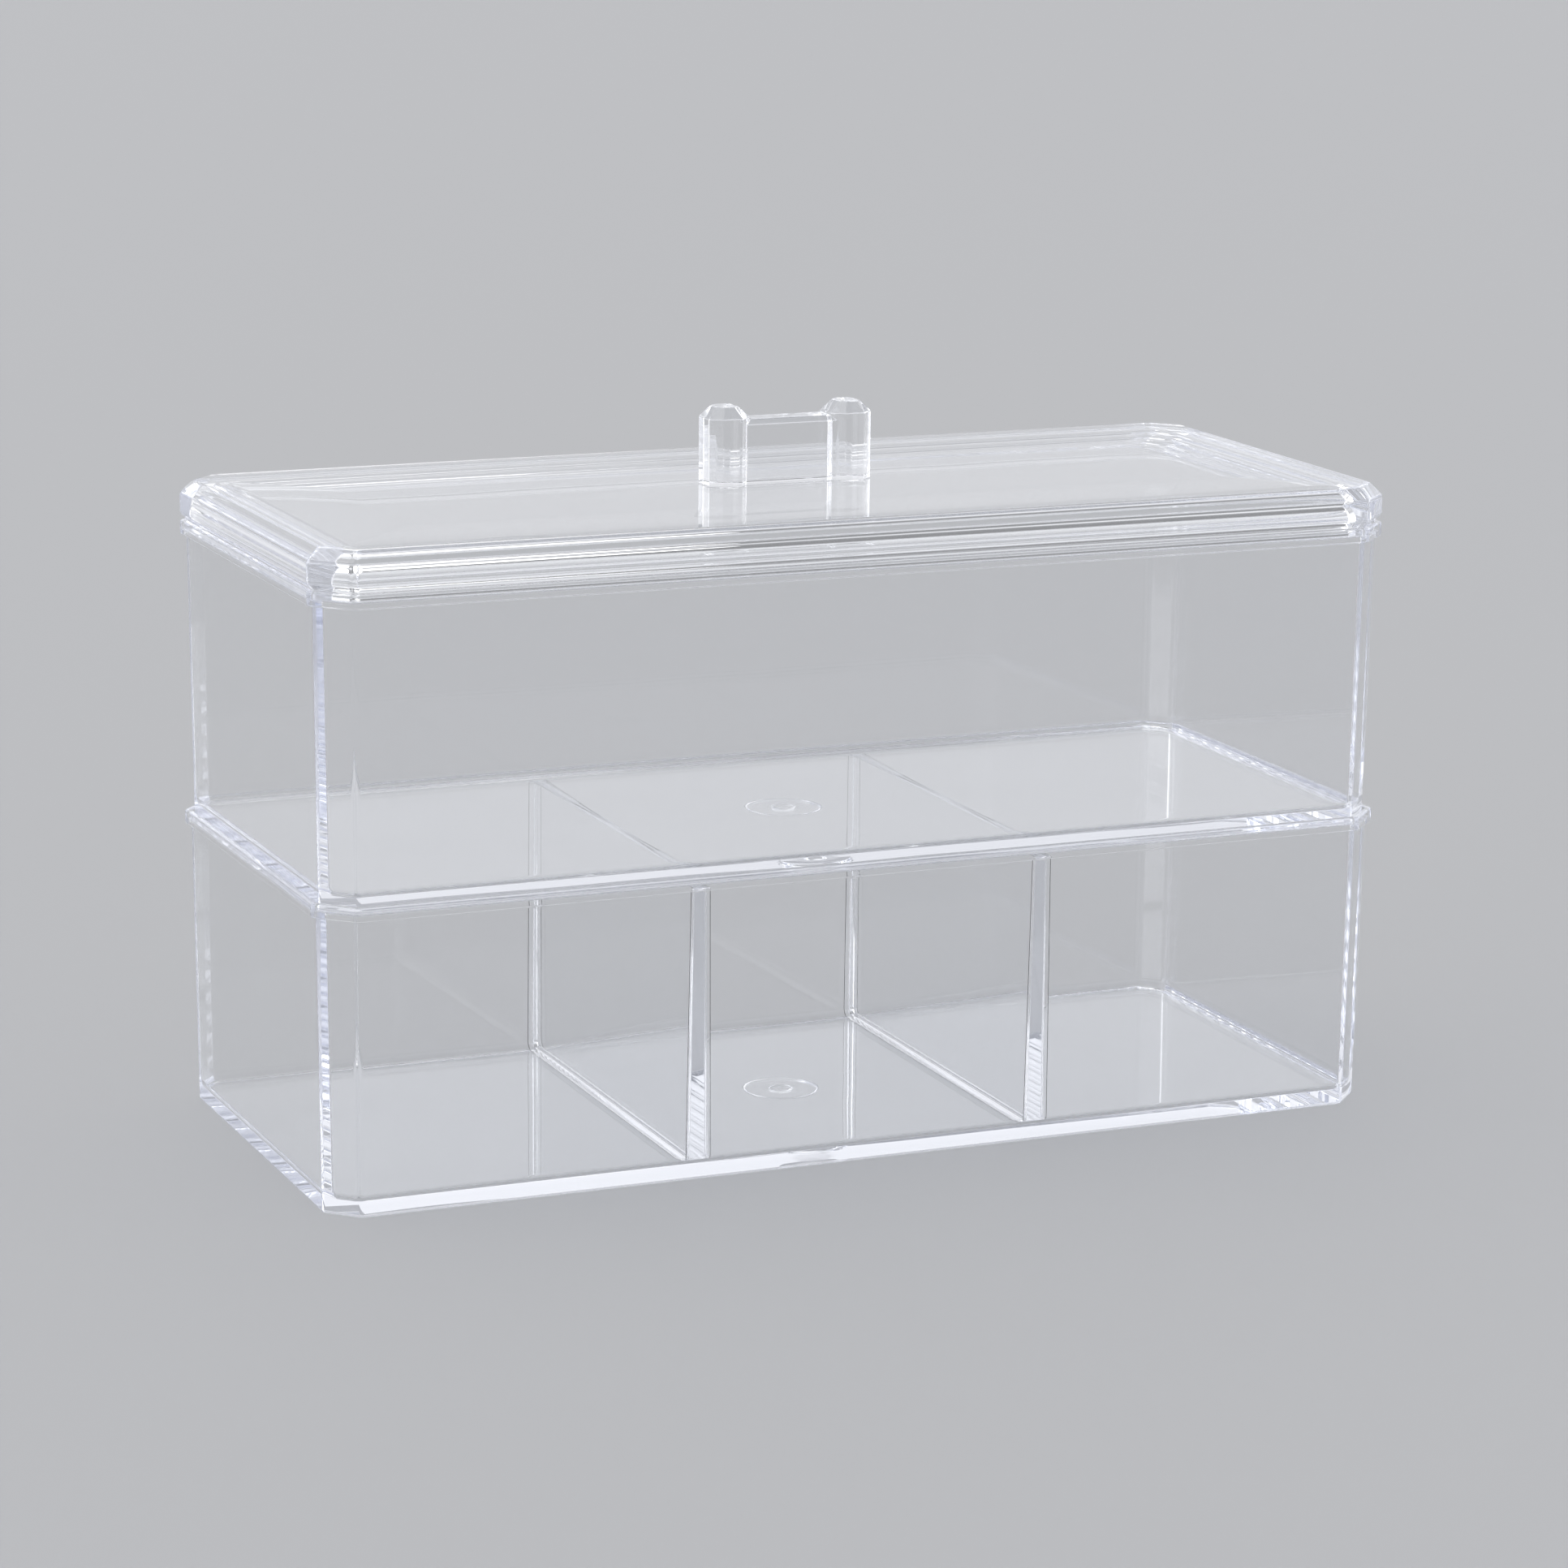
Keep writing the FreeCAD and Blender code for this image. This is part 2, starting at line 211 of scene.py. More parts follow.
@dataclass(frozen=True)
class ClearPlastic:
    """Clear moulded plastic: polished, faintly wavy, with a little haze and hairlines."""

    name: str
    tint: Colour = (0.985, 0.988, 0.993)
    ior: float = 1.49
    polish: float = 0.004
    haze: float = 0.012
    haze_patch: float = 0.03
    haze_detail: float = 2.0
    hairline_mark: float = 0.008
    hairline_gap: float = 0.0009
    hairline_length: float = 0.05
    hairline_detail: float = 1.0
    hairline_limits: tuple[float, float] = (0.66, 0.78)
    wave_length: float = 0.03
    wave_depth: float = 0.00005
    wave_detail: float = 0.5
    shade: Colour = (0.966, 0.969, 0.974)
    depth_tint: Colour = (0.40, 0.52, 0.95)
    depth: float = 0.8
    frost: float = 0.0
    frost_outer: float = 0.00473
    frost_inner: float = 0.00301

    def material(self) -> bpy.types.Material:
        """Make the material.

        Returns:
            A material whose plastic bends what is seen through it and lets lamps shine through.
        """
        made = bpy.data.materials.new(self.name)
        made.use_nodes = True
        sheet = ShaderSheet(made.node_tree)
        place = sheet.wire("TexCoord", "Object")
        plastic = sheet.wire(
            "BsdfPrincipled",
            settings={"distribution": "GGX"},
            sockets={
                "Base Color": (*self.tint, 1.0),
                "Roughness": self._roughness(sheet, place),
                "IOR": self.ior,
                "Transmission Weight": 1.0,
                "Normal": self._waviness(sheet, place),
            },
        )
        through = sheet.wire("BsdfTransparent", sockets={"Color": (*self.shade, 1.0)})
        surface = plastic
        for ray in ("Is Shadow Ray", "Is Diffuse Ray"):
            lit = sheet.wire("LightPath", ray)
            surface = sheet.wire("MixShader", sockets={0: lit, 1: surface, 2: through})
        tinge = sheet.wire(
            "VolumeAbsorption", sockets={"Color": (*self.depth_tint, 1.0), "Density": self.depth}
        )
        sheet.node("OutputMaterial", sockets={"Surface": surface, "Volume": tinge})
        return made

    def _roughness(self, sheet: ShaderSheet, place: Wire) -> Wire:
        """Polish, patches of haze, rubbed hairlines and a frosted mark round the Z axis.

        Args:
            sheet: The material's sheet.
            place: Where on the piece a point lies.

        Returns:
            The roughness at that point.
        """
        patches = sheet.noise(place, 1 / self.haze_patch, self.haze_detail)
        across = 1 / self.hairline_gap
        drawn = sheet.stretch(place, (1 / self.hairline_length, across, across))
        streaks = sheet.noise(drawn, 1.0, self.hairline_detail)
        faint, clear = self.hairline_limits
        hairlines = sheet.wire(
            "MapRange", sockets={"Value": streaks, "From Min": faint, "From Max": clear}
        )
        level = sheet.stretch(place, (1.0, 1.0, 0.0))
        reach = sheet.wire("VectorMath", "Value", {"operation": "LENGTH"}, {0: level})
        frost = sheet.wire(
            "MapRange",
            sockets={
                "Value": reach,
                "From Min": self.frost_outer,
                "From Max": self.frost_inner,
                "To Max": self.frost,
            },
        )
        rubbed = patches * patches * self.haze + hairlines * self.hairline_mark
        return self.polish + rubbed + frost * patches

    def _waviness(self, sheet: ShaderSheet, place: Wire) -> Wire:
        """The slow swell that a mould leaves on a flat wall."""
        swell = sheet.noise(place, 1 / self.wave_length, self.wave_detail)
        return sheet.wire("Bump", sockets={"Distance": self.wave_depth, "Height": swell})


@dataclass(frozen=True)
class PaleFloor:
    """Plain matt studio floor."""

    name: str = "pale_floor"
    colour: Colour = (0.45, 0.452, 0.458)
    roughness: float = 0.7
    shine: float = 0.2

    def material(self) -> bpy.types.Material:
        """Make the material.

        Returns:
            A material of one matt colour.
        """
        made = bpy.data.materials.new(self.name)
        made.use_nodes = True
        sheet = ShaderSheet(made.node_tree)
        matt = sheet.wire(
            "BsdfPrincipled",
            sockets={
                "Base Color": (*self.colour, 1.0),
                "Roughness": self.roughness,
                "Specular IOR Level": self.shine,
            },
        )
        sheet.node("OutputMaterial", sockets={"Surface": matt})
        return made


def level_vector(angle: float) -> Vector:
    """The level direction at an angle from +X."""
    return Vector((math.cos(angle), math.sin(angle), 0.0))


@dataclass(frozen=True)
class Outline:
    """A rectangle round the Z axis with flat cuts across its corners, their edges rounded."""

    half_x: float
    half_y: float
    cut: float
    rounding: float = 0.0

    def inset(self, amount: float) -> "Outline":
        """The same outline moved inward on every side."""
        cut = max(self.cut - amount * CUT_SHRINK, SMALLEST_CUT)
        return Outline(self.half_x - amount, self.half_y - amount, cut, self.rounding)

    def corners(self) -> Sequence[tuple[float, float]]:
        """List the corners before they are rounded.

        Returns:
            Eight places, anticlockwise from the +X side.
        """
        x, y = self.half_x, self.half_y
        in_x, in_y = x - self.cut, y - self.cut
        back = (x, in_y), (in_x, y), (-in_x, y), (-x, in_y)
        front = (-x, -in_y), (-in_x, -y), (in_x, -y), (x, -in_y)
        return back + front

    def ring(self, height: float) -> Ring:
        """Round the corners at a height.

        Args:
            height: How high the ring lies.

        Returns:
            Points anticlockwise from above, as many on each corner.
        """
        radius = min(self.rounding, self.cut)
        points = []
        for eighth, corner in enumerate(self.corners()):
            middle = level_vector((eighth + 0.5) * EIGHTH_TURN)
            centre = Vector((*corner, height)) - middle * radius / math.cos(EIGHTH_TURN / 2)
            for step in range(CORNER_POINTS):
                angle = (eighth + step / (CORNER_POINTS - 1)) * EIGHTH_TURN
                points.append(centre + radius * level_vector(angle))
        return points


def circle_ring(radius: float, height: float) -> Ring:
    """Draw a circle round the Z axis.

    Args:
        radius: The circle's radius.
        height: How high it lies.

    Returns:
        Points anticlockwise from above, as many as an outline's ring has.
    """
    count = OUTLINE_CORNERS * CORNER_POINTS
    rise = Vector((0.0, 0.0, height))
    return [rise + radius * level_vector((step + 0.5) / count * math.tau) for step in range(count)]


class Turn(NamedTuple):
    """A corner of a section: how far in from an outline, how high, and how round."""

    inset: float
    height: float
    rounding: float = 0.0


def section(turns: Sequence[Turn], steps: int = EDGE_STEPS) -> Section:
    """Round the corners of a section.

    Args:
        turns: The section's corners in order. The two end points are kept as they are.
        steps: Straight steps in each rounded corner.

    Returns:
        Points of inset and height along the rounded section.
    """
    points = [(turns[0].inset, turns[0].height)]
    for before, corner, after in zip(turns, turns[1:], turns[2:]):
        here = Vector((corner.inset, corner.height))
        back = (Vector((before.inset, before.height)) - here).normalized()
        ahead = (Vector((after.inset, after.height)) - here).normalized()
        half = math.acos(max(-1.0, min(1.0, back.dot(ahead)))) / 2
        centre = here + (back + ahead).normalized() * corner.rounding / math.sin(half)
        first = here + back * corner.rounding / math.tan(half) - centre
        last = here + ahead * corner.rounding / math.tan(half) - centre
        sweep = first.angle_signed(last)
        for step in range(steps + 1):
            point = first.copy()
            point.rotate(Matrix.Rotation(-sweep * step / steps, 2))
            points.append(tuple(centre + point))
    points.append((turns[-1].inset, turns[-1].height))
    return points


def skin(name: str, rings: Sequence[Ring]) -> bpy.types.Object:
    """Close a run of rings into one solid.

    Args:
        name: The new piece's name.
        rings: Rings of equally many points, from the middle of one end, out and along the
            surface, to the middle of the other end.

    Returns:
        The piece, linked to the scene.
    """
    work = bmesh.new()
    rows = [[work.verts.new(point) for point in ring] for ring in rings]
    for lower, upper in zip(rows, rows[1:]):
        for (a, b), (d, c) in zip(neighbours(lower), neighbours(upper)):
            work.faces.new((a, b, c, d))
    for row, outward in ((rows[0], -1), (rows[-1], 1)):
        middle = work.verts.new(sum((vert.co for vert in row), Vector()) / len(row))
        for a, b in neighbours(row):
            work.faces.new((a, b, middle) if outward > 0 else (b, a, middle))
    bmesh.ops.recalc_face_normals(work, faces=work.faces)
    return piece_from(work, name)


def neighbours(row: Sequence[Any]) -> Iterable[tuple[Any, Any]]:
    """Each item of a closed row with the one that follows it."""
    return zip(row, [*row[1:], row[0]])


def piece_from(work: bmesh.types.BMesh, name: str) -> bpy.types.Object:
    """Turn finished mesh work into a smooth piece.

    Args:
        work: The mesh work, which is used up.
        name: The new piece's name.

    Returns:
        The piece, linked to the scene.
    """
    mesh = bpy.data.meshes.new(name)
    work.to_mesh(mesh)
    work.free()
    mesh.shade_smooth()
    piece = bpy.data.objects.new(name, mesh)
    bpy.context.scene.collection.objects.link(piece)
    return piece


def soften(piece: bpy.types.Object, width: float) -> None:
    """Round a piece's sharp edges.

    Args:
        piece: The piece.
        width: How far each rounding reaches.
    """
    bevel = piece.modifiers.new("rounded_edges", "BEVEL")
    bevel.width = width
    bevel.segments = BEVEL_STEPS
    bevel.limit_method = "ANGLE"
    bevel.angle_limit = SHARP_ANGLE


def unite(piece: bpy.types.Object, addition: bpy.types.Object) -> None:
    """Join another solid to a piece.

    Args:
        piece: The solid that is kept.
        addition: The solid that becomes part of it and is cleared away.
    """
    join = piece.modifiers.new("join", "BOOLEAN")
    join.operation = "UNION"
    join.solver = "EXACT"
    join.object = addition
    bpy.context.view_layer.update()
    view = bpy.context.evaluated_depsgraph_get()
    joined = bpy.data.meshes.new_from_object(piece.evaluated_get(view))
    piece.modifiers.clear()
    work = bmesh.new()
    work.from_mesh(joined)
    bmesh.ops.dissolve_limit(work, angle_limit=FLAT_ANGLE, verts=work.verts, edges=work.edges)
    work.to_mesh(piece.data)
    work.free()
    bpy.data.meshes.remove(joined)
    bpy.data.objects.remove(addition)
    piece.data.shade_smooth()


def settle(piece: bpy.types.Object, node: Node, body: Body, finish: bpy.types.Material) -> None:
    """Give a piece its finish and its part in the box.

    Args:
        piece: The piece, built in its place.
        node: The node that it stands for.
        body: The body that it lifts with.
        finish: Its material.
    """
    even = piece.modifiers.new("even_shading", "WEIGHTED_NORMAL")
    even.weight = FLAT_FACE_PULL
    piece.data.materials.append(finish)
    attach(piece, body.value)
    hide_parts(node.value)
    log.info("%s stands for %s on %s", piece.name, node.value, body.value)


@dataclass(frozen=True)
class Shell:
    """Sizes that both trays and the lid share."""

    corner_cut: float = 0.0058
    corner_rounding: float = 0.0012
    rim_step: float = 0.00095
    draft: float = math.radians(0.62)
    nest_depth: float = 0.0015
    nest_clearance: float = 0.00035
    edge: float = 0.0003

    def lean(self, rise: float) -> float:
        """How far a wall leans out over a rise."""
        return rise * math.tan(self.draft)

    def foot(self, height: float) -> float:
        """How far a tray's foot lies inside its rim."""
        return self.rim_step + self.lean(height)

    def rim(self, node: Node) -> Outline:
        """Draw a node's outline over its rim.

        Args:
            node: A tray or the lid.

        Returns:
            The widest outline of the node.
        """
        low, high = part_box(node.value)
        half_x, half_y = (high.x - low.x) / 2, (high.y - low.y) / 2
        return Outline(half_x, half_y, self.corner_cut, self.corner_rounding)


@dataclass(frozen=True)
class Tray:
    """An open tray: drafted walls, a band round the mouth, a ledge for the foot above."""

    node: Node
    body: Body
    shell: Shell = Shell()
    rim_height: float = 0.0024
    wall: float = 0.0020
    floor: float = 0.0022
    floor_fillet: float = 0.0015
    foot_fillet: float = 0.0006
    ledge_fillet: float = 0.00015
    inner_cut: float = 0.0030
    inner_rounding: float = 0.0008
    mark_radius: float = 0.00625
    mark_border: float = 0.000625
    mark_nub: float = 0.0020
    mark_depth: float = 0.0005
    mark_edge: float = 0.00012

    def build(self) -> bpy.types.Object:
        """Model the tray.

        Returns:
            One closed shell, from the mark under its floor, over its rim, to the floor inside.
        """
        low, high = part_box(self.node.value)
        height = high.z - low.z
        rim = self.shell.rim(self.node)
        inside = self._hollow(rim, height)
        rings = [circle_ring(r, low.z + z) for r, z in self._mark()]
        rings += [rim.inset(i).ring(low.z + z) for i, z in self._outer_section(height)]
        rings += [inside.inset(i).ring(low.z + z) for i, z in self._inner_section(height)]
        return skin(f"{self.node.value}_shell", rings)

    def dress(self, finish: bpy.types.Material) -> None:
        """Build the tray and give it its finish and place."""
        settle(self.build(), self.node, self.body, finish)

    def _hollow(self, rim: Outline, height: float) -> Outline:
        """Draw the hollow at the ledge, where it is widest.

        Args:
            rim: The tray's outline over its rim.
            height: The tray's height.

        Returns:
            The hollow's outline, whose cuts come down to inner_cut at the floor.
        """
        ledge = height - self.shell.nest_depth
        inset = self.shell.foot(height) + self.wall - self.shell.lean(ledge)
        cut = self.inner_cut + self.shell.lean(ledge - self.floor) * CUT_SHRINK
        return Outline(rim.half_x - inset, rim.half_y - inset, cut, self.inner_rounding)

    def _mark(self) -> Section:
        """Section the moulding ring under the floor.

        Returns:
            Points of radius and height, from the ring's middle outward.
        """
        deep = AIR_GAP + self.mark_depth
        turns = (
            Turn(self.mark_nub / 2, AIR_GAP),
            Turn(self.mark_nub, AIR_GAP, self.mark_edge),
            Turn(self.mark_nub, deep, self.mark_edge),
            Turn(self.mark_radius, deep, self.mark_edge),
            Turn(self.mark_radius, AIR_GAP, self.mark_edge),
            Turn(self.mark_radius + self.mark_border, AIR_GAP),
        )
        return section(turns, MARK_STEPS)

    def _outer_section(self, height: float) -> Section:
        """Section the outside, from the underside up over the rim to the ledge.

        Args:
            height: The tray's height.

        Returns:
            Points of inset from the rim and height.
        """
        shell = self.shell
        foot = shell.foot(height)
        under_band = height - self.rim_height
        neck = shell.rim_step + shell.lean(self.rim_height)
        nest = foot - shell.lean(shell.nest_depth) - shell.nest_clearance
        ledge = height - shell.nest_depth
        turns = (
            Turn(foot + 2 * self.foot_fillet, AIR_GAP),
            Turn(foot, AIR_GAP, self.foot_fillet),
            Turn(neck, under_band, shell.edge),
            Turn(0.0, under_band, shell.edge),
            Turn(0.0, height, shell.edge),
            Turn(nest, height, shell.edge),
            Turn(nest, ledge, self.ledge_fillet),
            Turn(nest + shell.edge, ledge),
        )
        return section(turns)

    def _inner_section(self, height: float) -> Section:
        """Section the inside, from the ledge down to the floor.

        Args:
            height: The tray's height.

        Returns:
            Points of inset from the hollow's outline and height.
        """
        shell = self.shell
        ledge = height - shell.nest_depth
        foot = shell.lean(ledge - self.floor)
        turns = (
            Turn(-2 * shell.edge, ledge),
            Turn(0.0, ledge, shell.edge),
            Turn(foot, self.floor, self.floor_fillet),
            Turn(foot + 2 * self.floor_fillet, self.floor),
        )
        return section(turns)


def cove(reach: float, radius: float) -> float:
    """How far a cove stands out from one face, at some reach from the face it runs into."""
    return radius - math.sqrt(radius ** 2 - max(radius - reach, 0.0) ** 2)


def cove_stops(radius: float) -> list[float]:
    """Reaches at which a cove is sampled, from the face it runs into to where it ends."""
    angles = [step / COVE_STEPS * math.pi / 2 for step in range(COVE_STEPS + 1)]
    return [radius * (1 - math.cos(angle)) for angle in angles]


@dataclass(frozen=True)
class Divider:
    """A panel across the lower tray, thinner at its head, coved into the floor and the walls."""

    node: Node
    body: Body = Body.LOWER
    shell: Shell = Shell()
    head_thickness: float = 0.0016
    bead: float = 0.0009
    foot_corner: float = 0.0016
    edge: float = 0.0003

    def build(self) -> bpy.types.Object:
        """Model the panel.

        Returns:
            One solid of level rings from the panel's foot to its head.
        """
        low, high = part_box(self.node.value)
        height = high.z - low.z
        stops = {*cove_stops(self.bead), *cove_stops(self.foot_corner)}
        stops |= {height - stop for stop in cove_stops(self.edge)}
        rings = [self._ring(low, high, rise) for rise in sorted(stops)]
        for point in rings[0]:
            point.z += AIR_GAP
        return skin(f"{self.node.value}_panel", rings)

    def dress(self, finish: bpy.types.Material) -> None:
        """Build the panel and give it its finish and place."""
        settle(self.build(), self.node, self.body, finish)

    def _ring(self, low: Vector, high: Vector, rise: float) -> Ring:
        """Draw the panel's outline at a rise above its foot.

        Args:
            low: Lowest corner of the panel's node.
            high: Highest corner of the panel's node.
            rise: Height above the node's lowest corner.

        Returns:
            Points round the panel, anticlockwise from above.
        """
        height = high.z - low.z
        middle = (low.x + high.x) / 2
        foot = (high.x - low.x) / 2
        rounding = cove(height - rise, self.edge)
        half_x = foot + (self.head_thickness / 2 - foot) * rise / height - rounding
        half_y = high.y - self.shell.lean(height - rise) - cove(rise, self.foot_corner) - rounding
        face = []
        for reach in cove_stops(self.bead):
            swell = max(cove(reach, self.bead), cove(rise, self.bead))
            face.append((half_x + swell, half_y - reach))
        right = [(x, -y) for x, y in face] + face[::-1]
        around = right + [(-x, y) for x, y in right[::-1]]
        return [Vector((middle + x, y, low.z + rise)) for x, y in around]


@dataclass(frozen=True)
class Lid:
    """A bevelled plate with a thick border, hollow below, and a foot that sits in a rim."""

    node: Node = Node.LID
    body: Body = Body.COVER
    shell: Shell = Shell()
    top_bevel: float = 0.0022
    bottom_bevel: float = 0.0012
    plate: float = 0.0030
    border: float = 0.0055
    inner_cut: float = 0.0022
    inner_rounding: float = 0.0008
    inner_fillet: float = 0.0030
    crown: float = 0.0004
    crown_reach: float = 0.0120
    crown_turn: float = 0.300
    tray_height: float = 0.0512
    edge: float = 0.0012
    seat_edge: float = 0.0001

    def build(self) -> bpy.types.Object:
        """Model the lid.

        Returns:
            One closed shell, from the ceiling of its hollow, round its foot, to its top.
        """
        low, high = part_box(self.node.value)
        rim = self.shell.rim(self.node)
        half_x, half_y = rim.half_x - self.border, rim.half_y - self.border
        inside = Outline(half_x, half_y, self.inner_cut, self.inner_rounding)
        height = high.z - low.z
        rings = [inside.inset(i).ring(low.z + z) for i, z in self._inner_section(height)]
        rings += [rim.inset(i).ring(low.z + z) for i, z in self._outer_section(height)]
        return skin("lid_cover", rings)

    def dress(self, finish: bpy.types.Material) -> None:
        """Build the lid and give it its finish and place."""
        settle(self.build(), self.node, self.body, finish)

    def _inner_section(self, height: float) -> Section:
        """Section the hollow underside, from its crowned ceiling down to the foot.

        Args:
            height: The lid's height with its foot.

        Returns:
            Points of inset from the hollow's outline and height.
        """
        ceiling = height - self.plate
        turns = (
            Turn(2 * self.crown_reach, ceiling),
            Turn(self.crown_reach, ceiling, self.crown_turn),
            Turn(0.0, ceiling - self.crown, self.inner_fillet),
            Turn(0.0, AIR_GAP, self.shell.edge),
            Turn(-3 * self.shell.edge, AIR_GAP),
        )
        return section(turns, FILLET_STEPS)

    def _outer_section(self, height: float) -> Section:
        """Section the edge, from the foot up over the bevels to the top.

        Args:
            height: The lid's height with its foot.

        Returns:
            Points of inset from the rim and height.
        """
        shell = self.shell
        foot = shell.foot(self.tray_height)
        neck = foot - shell.lean(shell.nest_depth)
        turns = (
            Turn(foot + 3 * shell.edge, AIR_GAP),
            Turn(foot, AIR_GAP, shell.edge),
            Turn(neck, shell.nest_depth, self.seat_edge),
            Turn(self.bottom_bevel, shell.nest_depth, self.seat_edge),
            Turn(0.0, shell.nest_depth + self.bottom_bevel, self.edge),
            Turn(0.0, height - self.top_bevel, self.edge),
            Turn(self.top_bevel, height, self.edge),
            Turn(self.top_bevel + 3 * self.edge, height),
        )
        return section(turns)


@dataclass(frozen=True)
class Grip:
    """Two eight-sided posts with bevelled tops, joined by a solid web."""

    node: Node = Node.GRIP
    body: Body = Body.COVER
    post_width: float = 0.0074
    post_corner: float = 0.0020
    post_bevel: float = 0.0018
    web_depth: float = 0.0060
    web_height: float = 0.0110
    web_bevel: float = 0.0008
    edge: float = 0.00035

    def build(self) -> bpy.types.Object:
        """Model the posts and the web.

        Returns:
            One solid with softened edges.
        """
        low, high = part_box(self.node.value)
        reach = (high.x - low.x - self.post_width) / 2
        grip = self._web(reach, low.z)
        for side in (-1, 1):
            unite(grip, self._post(side * reach, low, high))
        soften(grip, self.edge)
        return grip

    def dress(self, finish: bpy.types.Material) -> None:
        """Build the grip and give it its finish and place."""
        settle(self.build(), self.node, self.body, finish)

    def _post(self, middle: float, low: Vector, high: Vector) -> bpy.types.Object:
        """Model one post.

        Args:
            middle: The post's place along the grip.
            low: Lowest corner of the grip's node.
            high: Highest corner of the grip's node.

        Returns:
            An eight-sided solid.
        """
        outline = Outline(self.post_width / 2, (high.y - low.y) / 2, self.post_corner)
        shoulder = high.z - self.post_bevel
        levels = ((low.z + AIR_GAP, 0.0), (shoulder, 0.0), (high.z, self.post_bevel))
        rings = [
            [Vector((middle + x, y, z)) for x, y in outline.inset(inset).corners()]
            for z, inset in levels
        ]
        return skin("post", rings)

    def _web(self, reach: float, base: float) -> bpy.types.Object:
        """Model the slab between the posts, bevelled along its top.

        Args:
            reach: How far the slab runs to each side.
            base: Height of the grip's underside.

        Returns:
            A solid, to which the posts are joined.
        """
        half = self.web_depth / 2
        levels = (
            (base + AIR_GAP, half),
            (base + self.web_height - self.web_bevel, half),
            (base + self.web_height, half - self.web_bevel),
        )
        rings = [
            [Vector((sx * reach, sy * y, z)) for sx, sy in ((1, 1), (-1, 1), (-1, -1), (1, -1))]
            for z, y in levels
        ]
        return skin("lid_grip", rings)


@dataclass(frozen=True)
class Skylight:
    """A broad soft lamp overhead, far enough off to light the floor evenly."""

    name: str = "skylight"
    source: tuple[float, float, float] = (-0.15, 0.45, 1.0)
    spread: float = math.radians(60)
    strength: float = 1.3

    def build(self) -> bpy.types.Object:
        """Hang the lamp and point it at the box.

        Returns:
            The lamp, linked to the scene.
        """
        lamp = bpy.data.lights.new(self.name, "SUN")
        lamp.energy = self.strength
        lamp.angle = self.spread
        hung = bpy.data.objects.new(self.name, lamp)
        hung.location = self.source
        hung.rotation_euler = (-Vector(self.source)).to_track_quat("-Z", "Y").to_euler()
        bpy.context.scene.collection.objects.link(hung)
        return hung


@dataclass(frozen=True)
class Camera:
    """The photograph's viewpoint."""

    name: str = "viewpoint"
    place: tuple[float, float, float] = (-0.3192, -0.7479, 0.2388)
    heading: float = math.radians(23.14)
    dip: float = math.radians(12.71)
    roll: float = math.radians(0.55)
    focal_pixels: float = 6029.6
    image_pixels: float = 1932.0
    sensor: float = 36.0
    sight: float = 50.0

    def build(self) -> bpy.types.Object:
        """Set the camera up.

        Returns:
            The camera, which the scene looks through.
        """
        ahead = Vector((
            math.sin(self.heading) * math.cos(self.dip),
            math.cos(self.heading) * math.cos(self.dip),
            -math.sin(self.dip),
        ))
        right = Vector((math.cos(self.heading), -math.sin(self.heading), 0.0))
        above = right.cross(ahead)
        level, turn = math.cos(self.roll), math.sin(self.roll)
        across, upright = right * level + above * turn, above * level - right * turn
        lens = bpy.data.cameras.new(self.name)
        lens.sensor_width = self.sensor
        lens.lens = self.focal_pixels / self.image_pixels * self.sensor
        lens.clip_end = self.sight
        viewer = bpy.data.objects.new(self.name, lens)
        turned = Matrix((across, upright, -ahead)).transposed()
        viewer.matrix_world = Matrix.Translation(self.place) @ turned.to_4x4()
        bpy.context.scene.collection.objects.link(viewer)
        bpy.context.scene.camera = viewer
        return viewer


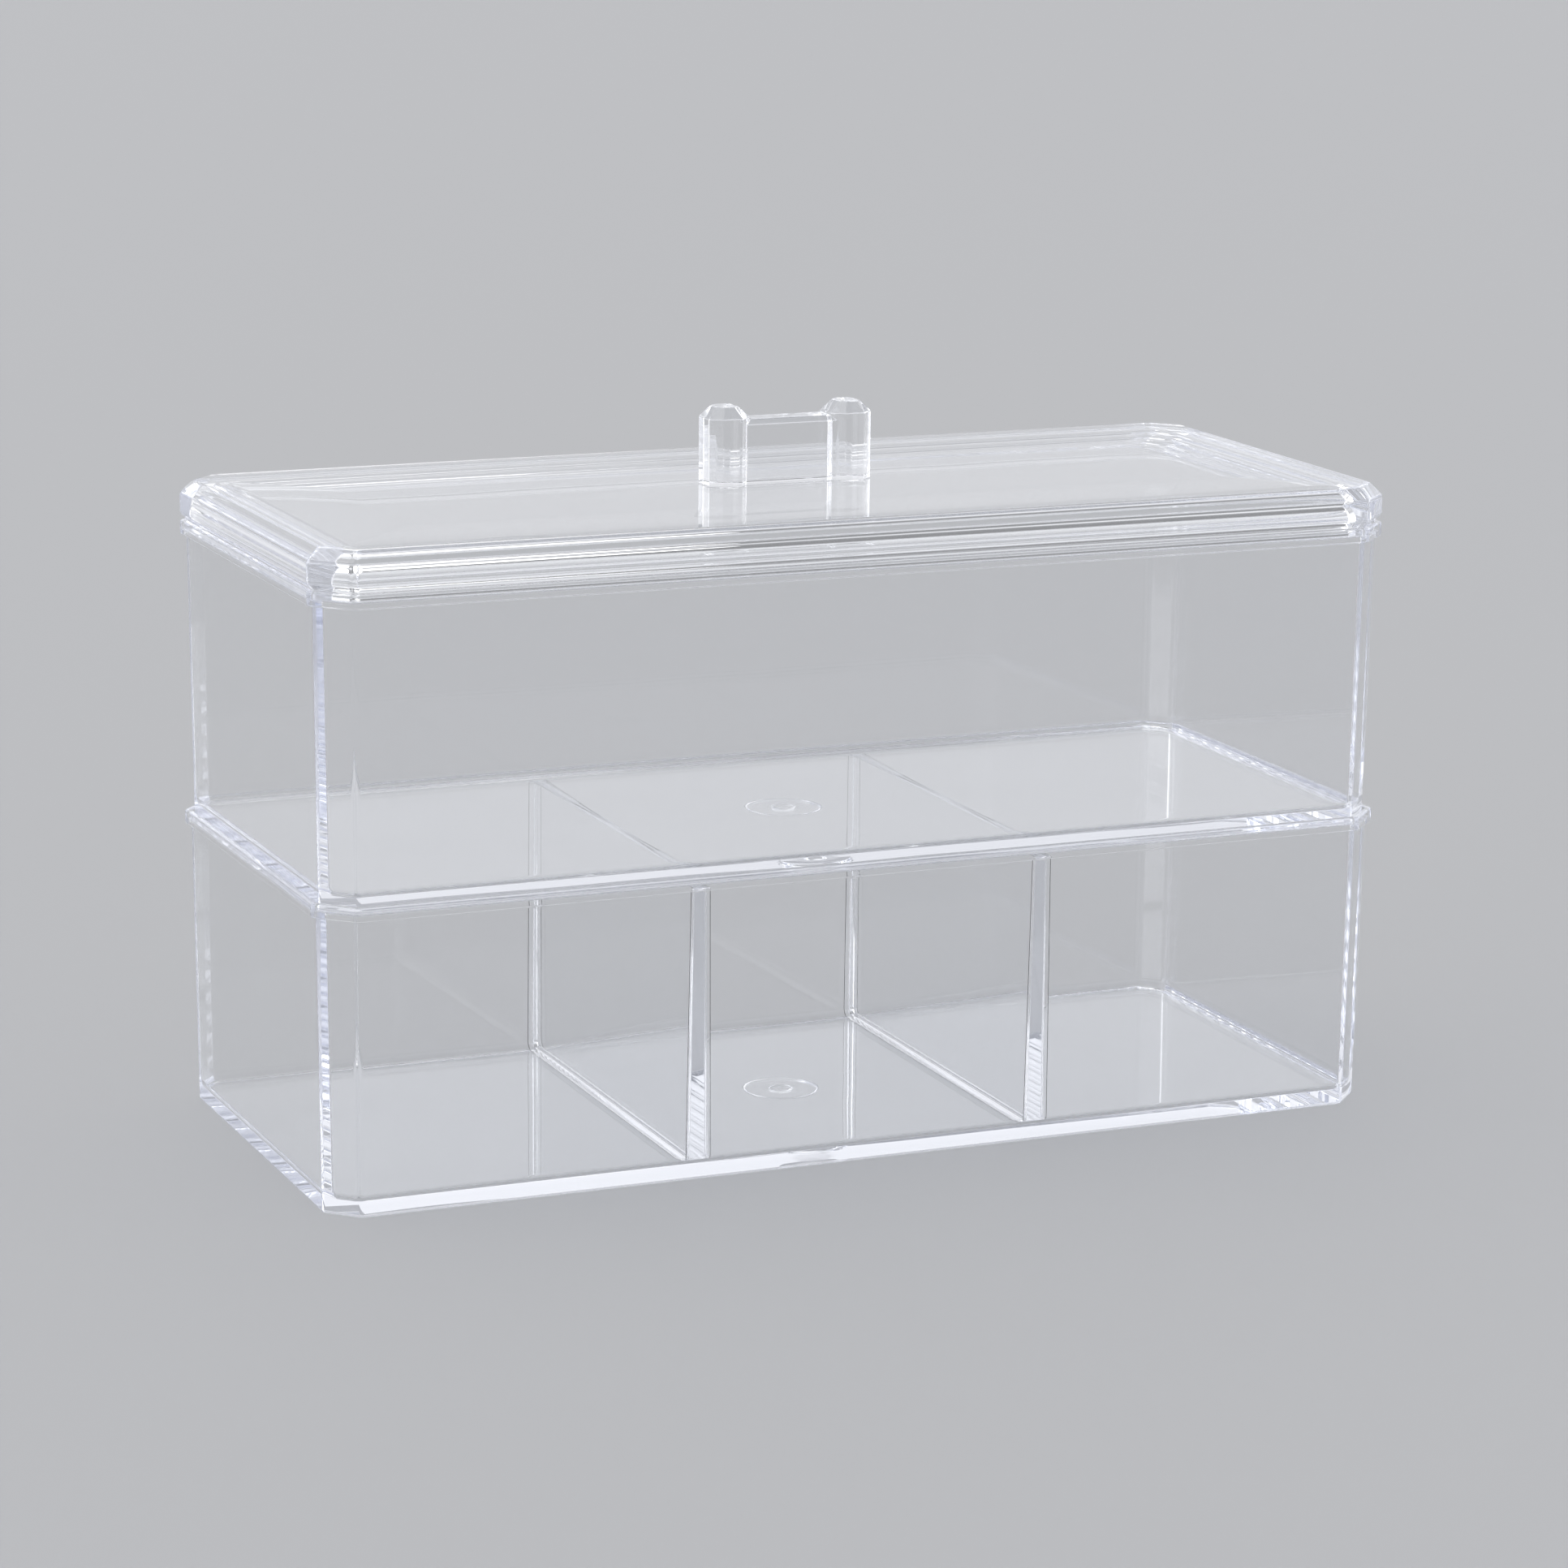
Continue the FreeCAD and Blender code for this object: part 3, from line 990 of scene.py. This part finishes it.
@dataclass(frozen=True)
class Studio:
    """Pale floor, a soft lamp overhead and a grey room with a lit wall on each side.

    A wall's levels are pairs: the height at which it is seen, from level to overhead, and its
    brightness there.
    """

    floor_half: float = 40.0
    light_turns: int = 128
    lamp: Skylight = Skylight()
    room: Levels = (
        (0.000, 0.48),
        (0.060, 0.55),
        (0.145, 0.76),
        (0.200, 0.80),
        (0.290, 0.95),
        (0.400, 1.10),
        (0.550, 0.80),
        (0.750, 0.32),
        (1.000, 0.25),
    )
    side_walls: Levels = (
        (0.000, 0.48),
        (0.060, 0.55),
        (0.120, 0.80),
        (0.200, 3.80),
        (0.450, 3.80),
        (0.600, 0.80),
        (1.000, 0.25),
    )
    side_reach: tuple[float, float] = (0.55, 0.90)
    tone: Colour = (1.0, 1.012, 1.05)

    def build(self) -> None:
        """Lay the floor, hang the lamp and light the room."""
        scene = bpy.context.scene
        scene.view_settings.view_transform = "Standard"
        self._follow_light(scene)
        self._floor()
        self.lamp.build()
        log.info("%s hung", self.lamp.name)
        self._room(scene)

    def _follow_light(self, scene: bpy.types.Scene) -> None:
        """Follow light along the clear walls, where it turns many times before it leaves.

        Args:
            scene: The scene.
        """
        paths = scene.cycles
        paths.max_bounces = self.light_turns
        paths.glossy_bounces = self.light_turns
        paths.transmission_bounces = self.light_turns
        paths.transparent_max_bounces = self.light_turns

    def _floor(self) -> None:
        """Lay the floor that the box stands on."""
        work = bmesh.new()
        bmesh.ops.create_grid(work, x_segments=1, y_segments=1, size=self.floor_half)
        floor = piece_from(work, "floor")
        floor.data.materials.append(PaleFloor().material())

    def _room(self, scene: bpy.types.Scene) -> None:
        """Light the room softly from all round, more from the two side walls.

        Args:
            scene: The scene.
        """
        world = bpy.data.worlds.new("room")
        world.use_nodes = True
        scene.world = world
        sheet = ShaderSheet(world.node_tree)
        ways = sheet.node("SeparateXYZ", sockets={0: sheet.wire("TexCoord", "Generated")})
        across = Wire(sheet, ways.outputs["X"])
        rise = Wire(sheet, ways.outputs["Z"])
        near, far = self.side_reach
        side = sheet.wire(
            "MapRange",
            settings={"interpolation_type": "SMOOTHSTEP"},
            sockets={"Value": across * across, "From Min": near, "From Max": far},
        )
        plain = self._gradient(sheet, self.room, rise)
        lit = self._gradient(sheet, self.side_walls, rise)
        wall = sheet.wire(
            "Mix",
            MIXED_COLOUR,
            settings={"data_type": "RGBA"},
            sockets={MIX_FACTOR: side, MIX_FIRST: plain, MIX_SECOND: lit},
        )
        glow = sheet.wire("Background", sockets={"Color": wall})
        sheet.node("OutputWorld", sockets={"Surface": glow})

    def _gradient(self, sheet: ShaderSheet, levels: Levels, rise: Wire) -> Wire:
        """A wall's colour by how high it is seen."""
        stops = [(place, tuple(level * part for part in self.tone)) for place, level in levels]
        return sheet.wire("ValToRGB", settings={"stops": stops}, sockets={"Fac": rise})


def main() -> None:
    """Build, dress and light the box."""
    logging.basicConfig(level=logging.INFO, format="%(name)s: %(message)s")
    plastic = ClearPlastic("clear_plastic_body").material()
    marked = ClearPlastic("clear_plastic_tray", frost=TRAY_FROST).material()
    Tray(Node.LOWER_TRAY, Body.LOWER).dress(marked)
    Divider(Node.LEFT_DIVIDER).dress(plastic)
    Divider(Node.RIGHT_DIVIDER).dress(plastic)
    Tray(Node.UPPER_TRAY, Body.UPPER).dress(marked)
    Lid().dress(plastic)
    Grip().dress(plastic)
    Studio().build()
    Camera().build()


if __name__ == "__main__":
    main()
